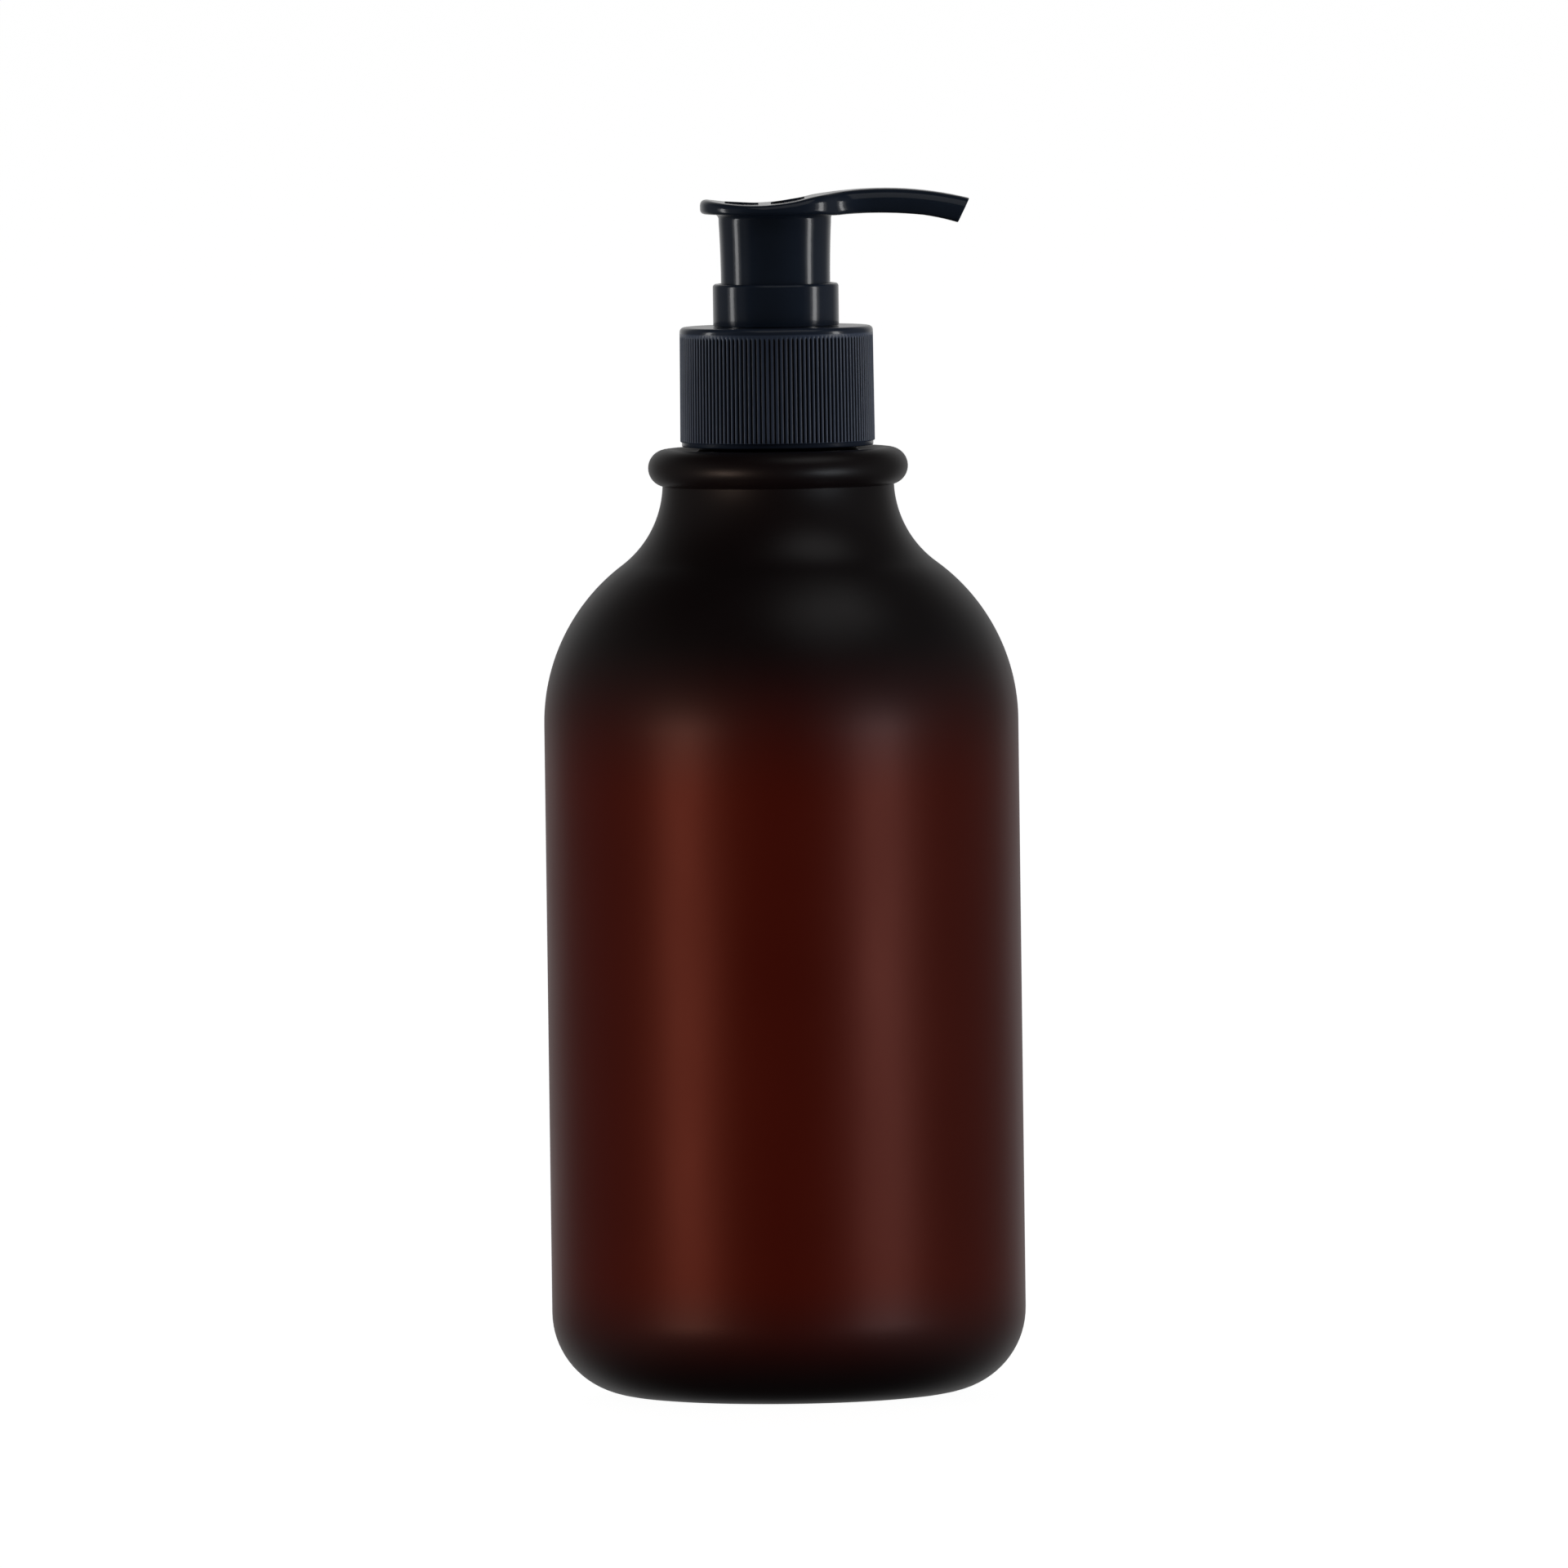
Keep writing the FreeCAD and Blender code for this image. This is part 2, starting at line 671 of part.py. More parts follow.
def actuator():
    joined_z = pad_under_z + head_overlap
    skirt = lathe(
        (skirt_bore_r, skirt_bottom_z),
        (skirt_bottom_r, skirt_bottom_z),
        (skirt_mid, (skirt_top_r, joined_z)),
        (skirt_bore_r, joined_z),
    )
    socket = rod(socket_r, socket_bottom_z, joined_z)
    bore, sleeve = channel()
    inside = rod(skirt_bore_r + liner_overlap, skirt_bottom_z, joined_z)
    body = head_blade().fuse([skirt, socket, sleeve.common(inside)])
    for middle in (90, -90):
        body = body.fuse(sector(finger_inner_r, finger_outer_r, skirt_bottom_z, joined_z,
                                middle, finger_half_angle))
    body = body.cut(rod(stem_r, socket_bottom_z - cutter_reach, stem_top_z))
    body = body.cut(rod(chamber_head_r, stem_top_z - cutter_reach, chamber_head_top_z))
    return body.cut(bore).removeSplitter()


for make in (bottle, closure, lock_ring, housing, gasket, dip_tube, ball_cage, inlet_ball,
             spring, piston_rod, piston, stem, actuator):
    save(make.__name__, make())
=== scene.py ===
# %% [markdown]
# # A frosted amber pump bottle
#
# This lesson builds the outside of a soap dispenser around a CAD model of it: a glass bottle, a ribbed
# screw closure, and a lotion pump with a long curved spout. The CAD model fixes every size and says which
# pieces move. Here each visible piece is modelled again by hand, with cleaner surfaces, and every piece
# gets a finish of its own. The pieces hidden inside the pump keep their CAD shapes.

# %% Load the frame
import math

import bmesh
import bpy
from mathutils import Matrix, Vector


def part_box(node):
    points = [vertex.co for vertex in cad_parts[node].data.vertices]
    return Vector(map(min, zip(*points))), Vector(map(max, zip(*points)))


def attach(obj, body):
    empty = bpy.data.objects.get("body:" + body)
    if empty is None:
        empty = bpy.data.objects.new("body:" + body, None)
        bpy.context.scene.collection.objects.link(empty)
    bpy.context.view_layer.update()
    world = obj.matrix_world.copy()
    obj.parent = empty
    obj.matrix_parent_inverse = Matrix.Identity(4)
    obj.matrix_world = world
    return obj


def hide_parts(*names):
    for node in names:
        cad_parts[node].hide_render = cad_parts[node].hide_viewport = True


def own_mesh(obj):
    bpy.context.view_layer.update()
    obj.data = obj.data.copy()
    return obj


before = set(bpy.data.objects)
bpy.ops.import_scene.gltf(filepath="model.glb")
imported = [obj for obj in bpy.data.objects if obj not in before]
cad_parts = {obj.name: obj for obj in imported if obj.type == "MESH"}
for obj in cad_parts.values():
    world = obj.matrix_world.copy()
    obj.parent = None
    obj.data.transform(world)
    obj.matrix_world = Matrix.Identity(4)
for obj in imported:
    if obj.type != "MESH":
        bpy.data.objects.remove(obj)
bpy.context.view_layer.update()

MM = 0.001

# %% [markdown]
# ## Sizes taken from the frame
#
# A piece that is modelled again has to sit exactly where its CAD twin does. So the heights and widths
# that the twins share with their neighbours are read from the frame, in millimetres, and the smaller
# shapes in between are worked out from them.

# %% Read the boxes of the visible pieces
def size_of(node):
    """Lowest and highest corner of a CAD piece, in millimetres."""
    low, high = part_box(node)
    return low / MM, high / MM


_, bottle_high = size_of("bottle")
closure_low, closure_high = size_of("closure")
ring_low, ring_high = size_of("lock_ring")
head_low, head_high = size_of("actuator")
body_r = bottle_high.x
cap_r = closure_high.x
collar_r = ring_high.x
print(f"body radius {body_r:.2f}, cap radius {cap_r:.2f}, collar radius {collar_r:.2f}")
print(f"lip {bottle_high.z:.2f}, cap {closure_low.z:.2f} to {closure_high.z:.2f}, head top {head_high.z:.2f}")

# %% [markdown]
# ## The camera
#
# The bottle is seen from far away through a long lens, so its sides stay parallel. The camera stands a
# little above the pump and looks slightly down. It is also turned a fraction of a degree about its
# own line of sight, which leans the bottle a hair to the left.

# %% Place the camera
camera_distance = 3500
camera_height = 283
aim = Vector((0.3, 0, 98))
frame_width = 252.3
camera_roll = math.radians(-0.75)

camera_data = bpy.data.cameras.new("camera")
camera = bpy.data.objects.new("camera", camera_data)
bpy.context.scene.collection.objects.link(camera)
bpy.context.scene.camera = camera
eye = Vector((aim.x, -camera_distance, camera_height))
line = aim - eye
camera_data.lens = camera_data.sensor_width * line.length / frame_width
camera_data.clip_end = 100
turn = line.to_track_quat("-Z", "Y").to_matrix().to_4x4()
roll = turn.Rotation(camera_roll, 4, "Z")
camera.matrix_world = turn.Translation(eye * MM) @ turn @ roll
print(f"lens {camera_data.lens:.0f} mm at {line.length / 1000:.2f} m")

# %% [markdown]
# ## Working by hand, with a few small tools
#
# Blender's operators act on whatever is selected. `only` makes a clean selection, `pick` selects points
# by their place while a piece is being edited, and `apply_modifier` adds a modifier and makes it final.
# They are all this lesson needs to work as one would with a mouse.

# %% Selecting
def only(*objects):
    """Leaves edit mode and selects these objects alone."""
    if bpy.context.mode != "OBJECT":
        bpy.ops.object.mode_set(mode="OBJECT")
    bpy.ops.object.select_all(action="DESELECT")
    for item in objects:
        item.select_set(True)
    if objects:
        bpy.context.view_layer.objects.active = objects[0]


def edit(piece):
    only(piece)
    bpy.ops.object.mode_set(mode="EDIT")
    bpy.ops.mesh.select_mode(type="VERT")


def pick(piece, test):
    """In edit mode, selects the points that pass the test, which gets each place in millimetres."""
    mesh = bmesh.from_edit_mesh(piece.data)
    for point in mesh.verts:
        point.select_set(bool(test(point.co / MM)))
    mesh.select_flush_mode()
    bmesh.update_edit_mesh(piece.data)
    return sum(point.select for point in mesh.verts)


def apply_modifier(piece, kind, **settings):
    """Adds a modifier with its settings and applies it at once."""
    only(piece)
    modifier = piece.modifiers.new(kind.lower(), kind)
    for name, value in settings.items():
        setattr(modifier, name, value)
    bpy.ops.object.modifier_apply(modifier=modifier.name)


def smooth(piece, degrees=30):
    only(piece)
    bpy.ops.object.shade_smooth_by_angle(angle=math.radians(degrees))
    print(f"{piece.name}: {len(piece.data.polygons)} faces")


def join(first, *others):
    only(first, *others)
    bpy.ops.object.join()
    return first


# %% [markdown]
# ## A lathe
#
# Most of this object is round, so most of it is turned. One point is placed, and extruded from place to
# place until it has drawn half of the section. Then Spin carries the chain once round the Z axis. Arcs
# in the section come from `arc`, so a fillet is one line and its smoothness is one number.

# %% Draw a section and spin it
def arc(centre, radius, start, end, steps):
    """Points of an arc about a centre, from angle start to angle end, both ends included."""
    turns = [math.radians(start + (end - start) * i / steps) for i in range(steps + 1)]
    return [(centre[0] + radius * math.cos(t), centre[1] + radius * math.sin(t)) for t in turns]


def draw(name, points):
    """A chain of points in the X-Z plane, drawn by extruding one point, and left in edit mode."""
    only()
    bpy.ops.mesh.primitive_plane_add(size=MM, location=(0, 0, 0))
    piece = bpy.context.object
    piece.name = piece.data.name = name
    edit(piece)
    bpy.ops.mesh.select_all(action="SELECT")
    bpy.ops.mesh.merge(type="CENTER")
    here = (0, 0)
    for i, (x, z) in enumerate(points):
        step = ((x - here[0]) * MM, 0, (z - here[1]) * MM)
        if i == 0:
            bpy.ops.transform.translate(value=step)
        elif math.hypot(step[0], step[2]) > 1e-8:
            bpy.ops.mesh.extrude_vertices_move(TRANSFORM_OT_translate={"value": step})
        here = (x, z)
    return piece


def weld(piece):
    """Merges doubled points and turns all faces outwards."""
    edit(piece)
    bpy.ops.mesh.select_all(action="SELECT")
    bpy.ops.mesh.remove_doubles(threshold=0.002 * MM)
    bpy.ops.mesh.normals_make_consistent(inside=False)
    only(piece)


def turn_on_lathe(name, points, segments, sweep=360):
    """A solid of revolution from the outline of half its section, given as (radius, height)."""
    piece = draw(name, list(points) + [points[0]])
    bpy.ops.mesh.select_all(action="SELECT")
    bpy.ops.mesh.remove_doubles(threshold=0.002 * MM)
    bpy.ops.mesh.select_all(action="SELECT")
    if sweep < 360:
        bpy.ops.mesh.edge_face_add()
    bpy.ops.mesh.spin(steps=segments, angle=math.radians(sweep), center=(0, 0, 0), axis=(0, 0, 1))
    weld(piece)
    return piece


# %% [markdown]
# ## Screw threads
#
# The neck and the closure carry a real thread, one full turn for every 25.4 / 6 mm of height. A thread
# is a four-sided section that the Screw modifier carries up a helix. It is left a little way inside its
# wall, so it joins the wall all along.

# %% Wind a thread
pitch = 25.4 / 6
thread_steps = 48


def wind_thread(name, root_r, crest_r, half_root, half_crest, start_z, start_degrees, turns):
    piece = draw(name, [(root_r, start_z - half_root), (crest_r, start_z - half_crest),
                        (crest_r, start_z + half_crest), (root_r, start_z + half_root)])
    bpy.ops.mesh.select_all(action="SELECT")
    bpy.ops.mesh.edge_face_add()
    only(piece)
    steps = int(thread_steps * turns)
    apply_modifier(piece, "SCREW", angle=2 * math.pi * turns, screw_offset=pitch * turns * MM,
                   steps=steps, render_steps=steps, use_merge_vertices=False)
    edit(piece)
    bpy.ops.mesh.select_all(action="SELECT")
    bpy.ops.transform.rotate(value=-math.radians(start_degrees), orient_axis="Z", center_override=(0, 0, 0))
    weld(piece)
    return piece


# %% [markdown]
# ## The bottle
#
# The bottle is one piece of blown glass. Its outline is a straight wall, a round heel, a wide round
# shoulder, a hollow neck curve, and a fat bead under the screw neck. The two big arcs touch without a
# corner, and that decides how high the neck curve sits. The inside runs parallel, one wall away.

# %% Bottle sizes
glass = 2.6
heel_r = 13.3
foot_width = 4.0
foot_edge_r = 0.8
foot_drop = 0.25
punt_rise = 2.2
base_glass = 3.6
shoulder_r = 31.6
shoulder_z = 108.1
neck_sweep_r = 16.6
waist_r = 18.6
bead_at = (17.88, 149.1)
bead_r = 3.02
bead_crease = 2.93
neck_r = 12.6
bore_r = 10.8
bore_flare_z = 143.0
lip_z = bottle_high.z
neck_foot_z = 152.6
neck_thread_top = 166.1
neck_thread_turns = 1.5

shoulder_at = (body_r - shoulder_r, shoulder_z)
sweep_x = waist_r + neck_sweep_r
sweep_rise = math.sqrt((shoulder_r + neck_sweep_r) ** 2 - (sweep_x - shoulder_at[0]) ** 2)
sweep_at = (sweep_x, shoulder_z + sweep_rise)
touch = math.degrees(math.atan2(sweep_at[1] - shoulder_at[1], sweep_at[0] - shoulder_at[0]))
print(f"shoulder and neck curve touch at {touch:.1f} degrees, neck curve centred at {sweep_at[1]:.1f} mm")


# %% Bottle outline
def dome(edge_r, edge_z, rise, steps):
    """A shallow round cap over the axis, from its top to its edge."""
    radius = (edge_r ** 2 + rise ** 2) / (2 * rise)
    edge_angle = math.degrees(math.acos(edge_r / radius))
    return arc((0, edge_z + rise - radius), radius, 90, edge_angle, steps)


def bottle_outline():
    heel_at = (body_r - heel_r, heel_r)
    crease_z = bead_at[1] - bead_crease
    crease = 180 + math.degrees(math.asin((sweep_at[1] - crease_z) / neck_sweep_r))
    crease_r = sweep_at[0] + neck_sweep_r * math.cos(math.radians(crease))
    crease_on_bead = math.degrees(math.atan2(crease_z - bead_at[1], crease_r - bead_at[0]))
    flare_r = neck_sweep_r + glass
    flare = 180 + math.degrees(math.asin((sweep_at[1] - bore_flare_z) / flare_r))
    dome_r = sweep_at[0] + flare_r * math.cos(math.radians(flare)) - bore_r
    inner_heel = (heel_at[0], heel_r + base_glass - glass)
    outside = (
        dome(heel_at[0] - foot_width - foot_edge_r, foot_drop, punt_rise - foot_drop, 10)
        + arc((heel_at[0] - foot_width, foot_edge_r), foot_edge_r, -130, -90, 4)
        + arc(heel_at, heel_r, -90, 0, 20)
        + [(body_r, heel_r + (shoulder_z - heel_r) * i / 8) for i in range(1, 8)]
        + arc(shoulder_at, shoulder_r, 0, touch, 26)
        + arc(sweep_at, neck_sweep_r, 180 + touch, crease, 18)[1:]
        + arc(bead_at, bead_r, crease_on_bead, 130, 24)[1:]
        + arc((neck_r + 1.2, neck_foot_z), 1.2, 270, 180, 5)
        + arc((neck_r - 0.5, lip_z - 0.5), 0.5, 0, 90, 5)
    )
    inside = (
        arc((bore_r + 0.4, lip_z - 0.4), 0.4, 90, 180, 4)
        + arc((bore_r, bore_flare_z), dome_r, 90, 0, 10)
        + arc(sweep_at, flare_r, flare, 180 + touch, 12)[1:]
        + arc(shoulder_at, shoulder_r - glass, touch, 0, 20)[1:]
        + [(body_r - glass, shoulder_z - (shoulder_z - inner_heel[1]) * i / 4) for i in range(1, 4)]
        + arc(inner_heel, heel_r - glass, 0, -90, 14)
        + list(reversed(dome(heel_at[0], base_glass, punt_rise, 8)))[1:]
    )
    return outside + inside


# %% Turn the bottle
bottle = turn_on_lathe("bottle_glass", bottle_outline(), 160)
neck_thread_z = neck_thread_top - neck_thread_turns * pitch
join(bottle, wind_thread("neck_thread", neck_r - 0.3, neck_r + 1.1, 1.25, 0.5, neck_thread_z, 40,
                         neck_thread_turns))
smooth(bottle, 40)

# %% [markdown]
# ## The closure
#
# The screw cap is moulded with fine upright ribs for grip, a plain band below them and a flat top. It is
# turned like the bottle, with six steps round for every rib. Then the columns of points are pushed in by
# the rib's own profile: deep for the groove, less beside it, and nothing at all at the round crest.

# %% Closure sizes
rib_count = 130
rib_profile = (0.32, 0.11, 0.015, 0.0, 0.015, 0.11)
cap_low, cap_top = closure_low.z, closure_high.z
rib_low, rib_high = cap_low + 0.75, cap_top - 1.45
cap_bore = 13.9
cap_hole = 9.8
cap_plate = 1.2
cap_edge = 0.75
cap_lean = 0.1
band_r = cap_r - 0.25
cap_thread_drop = 1.75


# %% Turn the cap and press in the ribs
def closure_outline():
    top_r = cap_r - cap_lean
    return (
        arc((band_r - 0.2, cap_low + 0.2), 0.2, -90, 0, 3)
        + arc((band_r + 0.05, rib_low - 0.05), 0.05, 180, 90, 2)
        + arc((cap_r - 0.15, rib_low + 0.15), 0.15, -60, 0, 3)
        + [(cap_r, rib_low + 0.4), (cap_r - cap_lean / 2, (rib_low + rib_high) / 2), (top_r, rib_high - 0.4)]
        + [(top_r, rib_high), (top_r, rib_high + 0.35)]
        + arc((top_r - cap_edge, cap_top - cap_edge), cap_edge, 0, 90, 7)
        + arc((cap_hole + 0.2, cap_top - 0.2), 0.2, 90, 180, 3)
        + [(cap_hole, cap_top - cap_plate), (cap_bore - 0.5, cap_top - cap_plate)]
        + arc((cap_bore - 0.5, cap_top - cap_plate - 0.5), 0.5, 90, 0, 3)
        + [(cap_bore, cap_low + 0.6), (cap_bore + 0.5, cap_low)]
    )


def press_ribs(piece):
    edit(piece)
    steps = len(rib_profile)
    for phase, depth in enumerate(rib_profile):
        def on_column(p):
            here = round(math.atan2(p.y, p.x) / (2 * math.pi) * rib_count * steps) % steps
            outside = math.hypot(p.x, p.y) > cap_bore + 1
            return here == phase and outside and rib_low + 0.1 < p.z < rib_high - 0.1

        pick(piece, on_column)
        factor = 1 - depth / cap_r
        bpy.ops.transform.resize(value=(factor, factor, 1), center_override=(0, 0, 0))
    only(piece)


closure = turn_on_lathe("closure_cap", closure_outline(), rib_count * len(rib_profile))
press_ribs(closure)
cap_thread_z = neck_thread_z - cap_thread_drop - pitch * 90 / 360
join(closure, wind_thread("cap_thread", cap_bore + 0.3, cap_bore - 1.05, 0.9, 0.45, cap_thread_z, -50, 1.25))
smooth(closure, 40)

# %% [markdown]
# ## The lock ring
#
# The collar over the cap is the top of the lock ring. Its sleeve goes down through the cap and snaps
# into the pump's cylinder. Inside stand a tube that guides the stem and two blocks: when the head is
# turned across them it can't be pressed, which locks the pump for travel.

# %% Turn the lock ring
stem_r = 4.0
sleeve_r, sleeve_bore, sleeve_low = 9.7, 9.2, 165.0
ring_floor = 1.2
collar_low = cap_top + 0.1
cup_r = 6.9
guide_r = 4.9
guide_top = 169.4
stop_top = 176.6
stop_sweep = 60


def ring_outline():
    return (
        [(stem_r + 0.1, ring_low.z), (cup_r, ring_low.z), (cup_r, sleeve_low), (sleeve_r, sleeve_low)]
        + [(sleeve_r, collar_low)]
        + arc((collar_r - 0.12, collar_low + 0.12), 0.12, -90, 0, 3)
        + arc((collar_r - 0.5, ring_high.z - 0.5), 0.5, 0, 90, 8)
        + arc((sleeve_bore + 0.15, ring_high.z - 0.15), 0.15, 90, 180, 3)
        + [(sleeve_bore, sleeve_low + ring_floor), (guide_r, sleeve_low + ring_floor)]
        + [(guide_r, guide_top), (stem_r + 0.1, guide_top)]
    )


def stop_block(middle):
    """One of the two blocks, a sixth of a turn long."""
    outline = [(5.2, sleeve_low + 0.5), (6.7, sleeve_low + 0.5), (6.7, stop_top), (5.2, stop_top)]
    block = turn_on_lathe("stop_block", outline, 12, stop_sweep)
    edit(block)
    bpy.ops.mesh.select_all(action="SELECT")
    bpy.ops.transform.rotate(value=-math.radians(middle - stop_sweep / 2), orient_axis="Z",
                             center_override=(0, 0, 0))
    only(block)
    return block


ring = turn_on_lathe("lock_ring_collar", ring_outline(), 128)
join(ring, stop_block(0), stop_block(180))
smooth(ring, 40)

# %% [markdown]
# ## The head: skirt
#
# The head is one moulding, made here from three shapes that run into each other. The skirt is the tall
# barrel that slides into the lock ring. It widens slightly towards the top and ends in a small fillet
# under the thumb pad. The socket inside it takes the stem.

# %% Turn the skirt and the socket
pad_under = 189.85
skirt_low = head_low.z
skirt_bore = 7.7
skirt_top_r = 9.95
socket_low, socket_r = 180, 5


def skirt_outline():
    flare = [(8.78, 178.2), (8.79, 180.5), (8.83, 182.8), (8.89, 185.0), (8.97, 187.0), (9.04, 188.3)]
    return (
        arc((8.58, skirt_low + 0.2), 0.2, -90, 0, 3)
        + flare
        + arc((skirt_top_r, pad_under - 0.9), 0.9, 180, 90, 8)
        + [(skirt_top_r, pad_under + 0.35), (skirt_bore, pad_under + 0.35)]
        + arc((skirt_bore + 0.2, skirt_low + 0.2), 0.2, 180, 270, 3)
    )


skirt = turn_on_lathe("head_skirt", skirt_outline(), 128)
socket_outline = [(stem_r, socket_low), (socket_r, socket_low), (socket_r, pad_under + 0.3),
                  (stem_r, pad_under + 0.3)]
socket = turn_on_lathe("head_socket", socket_outline, 64)

# %% [markdown]
# ## The head: thumb pad and spout
#
# Pad and spout are one blade. Seen from the side it is a hollow for the thumb, then a crowned spout that
# dips to its tip. Seen from above it is a disc with the spout pulled out of it. So a circle is filled with
# rings, and the fourteen edges that face forwards are extruded, station by station, into the spout. Every
# point is then lifted to the curve above it, and less so near the outline, which rounds the edges.

# %% Curves of the blade, seen from the side
pad_r = 12.0
root_angle = 39.375
saddle_low = (-3.2, 191.35)
saddle_r = 36.2
saddle_end = 5.0
crown_top = (17.2, head_high.z)
crown_r = 56.0
belly_top = (16.0, 189.8)
belly_r = 68.0
tip_x = head_high.x
tip_slant = 1.9
slant_start = 24.0
belly_start, belly_full = 6.5, 10.5


def bow(top, radius, x):
    return math.sqrt(radius ** 2 - (x - top[0]) ** 2) - radius


def blend(x, low, high):
    """0 below low, 1 above high, and a smooth rise between."""
    t = min(max((x - low) / (high - low), 0), 1)
    return t * t * (3 - 2 * t)


def upper_line(x):
    """Height of the blade's top, with a soft change from the hollow to the crown."""
    hollow = saddle_low[1] - bow(saddle_low, saddle_r, x)
    crown = crown_top[1] + bow(crown_top, crown_r, x)
    share = blend(x, saddle_end - 1.5, saddle_end + 1.5)
    return hollow + (crown - hollow) * share


def lower_line(x):
    belly = belly_top[1] + bow(belly_top, belly_r, x)
    return pad_under + (belly - pad_under) * blend(x, belly_start, belly_full)


print("top of the blade every 4 mm:", [round(upper_line(x), 2) for x in range(-12, 32, 4)])


# %% Curves of the blade, seen from above
spout_root, spout_tip = 4.3, 3.3
fillet_r = 9.0
fillet_at = (math.sqrt((pad_r + fillet_r) ** 2 - (spout_root + fillet_r) ** 2), spout_root + fillet_r)
column_turns = [90, 70, 50, 30, 12]
half_columns = 7


def half_width(x):
    """Half the spout's width: a hollow curve out of the pad, then a slow taper."""
    if x < fillet_at[0]:
        return fillet_at[1] - math.sqrt(fillet_r ** 2 - (x - fillet_at[0]) ** 2)
    return spout_root + (spout_tip - spout_root) * (x - fillet_at[0]) / (tip_x - fillet_at[0])


def edge_distance(x, y):
    """How far a point lies inside the blade's outline, seen from above."""
    side = abs(y)
    if x > fillet_at[0]:
        return half_width(x) - side
    if math.atan2(side, x) < math.atan2(fillet_at[1], fillet_at[0]):
        return math.hypot(fillet_at[0] - x, fillet_at[1] - side) - fillet_r
    return pad_r - math.hypot(x, y)


# %% Rounded edges of the blade
pad_edge_r, crown_edge_r, under_edge_r = 1.15, 2.1, 0.7
top_share, under_share = 0.55, 0.3


def top_round(x):
    """Radius of the upper edge: small round the pad, and so large on the spout that its top is a crown."""
    wanted = pad_edge_r + (crown_edge_r - pad_edge_r) * blend(x, 4, 16)
    return min(wanted, top_share * (upper_line(x) - lower_line(x)))


def under_round(x):
    return min(under_edge_r, under_share * (upper_line(x) - lower_line(x)))


def rounding(x, y, radius):
    """How far a rounded edge gives way: nothing inside, and the whole radius at the outline."""
    over = min(radius - edge_distance(x, y), radius)
    if over <= 0:
        return 0
    return radius - math.sqrt(radius ** 2 - over ** 2)


def arch(number, x):
    """How far a column lags behind the middle one, as the stations turn from round to straight."""
    lag = pad_r * (1 - math.cos(math.radians(root_angle * number / half_columns)))
    return lag * (1 - blend(x, 12, 19))


def column(number, x):
    """Sideways place of one of the blade's columns at a station, closer together where the edge is round."""
    side = abs(number)
    own_width = half_width(x - arch(number, x))
    even = half_width(x - arch(half_columns, x)) * side / half_columns
    turn = math.radians(column_turns[min(half_columns - side, 4)])
    turned = own_width - top_round(x) * (1 - math.sin(turn))
    if side < 3:
        turned *= side / 3
    return math.copysign(even + (turned - even) * blend(x, 12, 16), number)


# %% Draw the blade
def place_points(piece, where, chosen=lambda v: v.select):
    """In edit mode, moves each chosen point to where(its place), in millimetres."""
    mesh = bmesh.from_edit_mesh(piece.data)
    for point in mesh.verts:
        if chosen(point):
            point.co = Vector(where(point.co / MM)) * MM
    bmesh.update_edit_mesh(piece.data)


def blade_sheet():
    only()
    bpy.ops.mesh.primitive_circle_add(vertices=64, radius=pad_r * MM, location=(0, 0, 0))
    sheet = bpy.context.object
    sheet.name = sheet.data.name = "head_blade"
    edit(sheet)
    bpy.ops.mesh.select_all(action="SELECT")
    now = pad_r
    rim_rings = [pad_r - pad_edge_r * (1 - math.sin(math.radians(t))) for t in (*column_turns[1:], 0)]
    for radius in (*rim_rings, 9.6, 7.8, 5.8, 3.8, 2.0, 0.8):
        bpy.ops.mesh.extrude_edges_move()
        bpy.ops.transform.resize(value=(radius / now, radius / now, 1), center_override=(0, 0, 0))
        now = radius
    bpy.ops.mesh.extrude_edges_move()
    bpy.ops.mesh.merge(type="CENTER")
    reach = math.radians(root_angle + 0.1)
    pick(sheet, lambda p: p.length > pad_r - 0.01 and abs(math.atan2(p.y, p.x)) < reach)
    stations = [12.4, 13.2, 14.2, 15.3, 16.5, 18, 19.5, 21, 22.5, 24, 25.5, 27, 28.5, 29.6, 30.6, tip_x]
    for x in stations:
        bpy.ops.mesh.extrude_edges_move()
        mesh = bmesh.from_edit_mesh(sheet.data)
        line = sorted((v for v in mesh.verts if v.select), key=lambda v: v.co.y)
        for number, point in enumerate(line, -half_columns):
            point.co = Vector((x - arch(number, x), column(number, x), 0)) * MM
        bmesh.update_edit_mesh(sheet.data)
    return sheet


def slanted(p):
    """The tip is cut at a slant, so the lower a point lies there, the further back it goes."""
    depth = (upper_line(p.x) - p.z) / (upper_line(p.x) - lower_line(p.x))
    share = min(max((p.x - slant_start) / (tip_x - slant_start), 0), 1)
    return p.x - tip_slant * depth * share, p.y, p.z


def blade_solid(sheet):
    bpy.ops.mesh.select_all(action="SELECT")
    place_points(sheet, lambda p: (p.x, p.y, upper_line(p.x) - rounding(p.x, p.y, top_round(p.x))))
    bpy.ops.mesh.extrude_region_move()
    place_points(sheet, lambda p: (p.x, p.y, lower_line(p.x) + rounding(p.x, p.y, under_round(p.x))))
    place_points(sheet, slanted, chosen=lambda v: v.co.x > slant_start * MM)
    only(sheet)
    weld(sheet)
    return sheet


blade = blade_solid(blade_sheet())
print("blade:", len(blade.data.polygons), "faces")


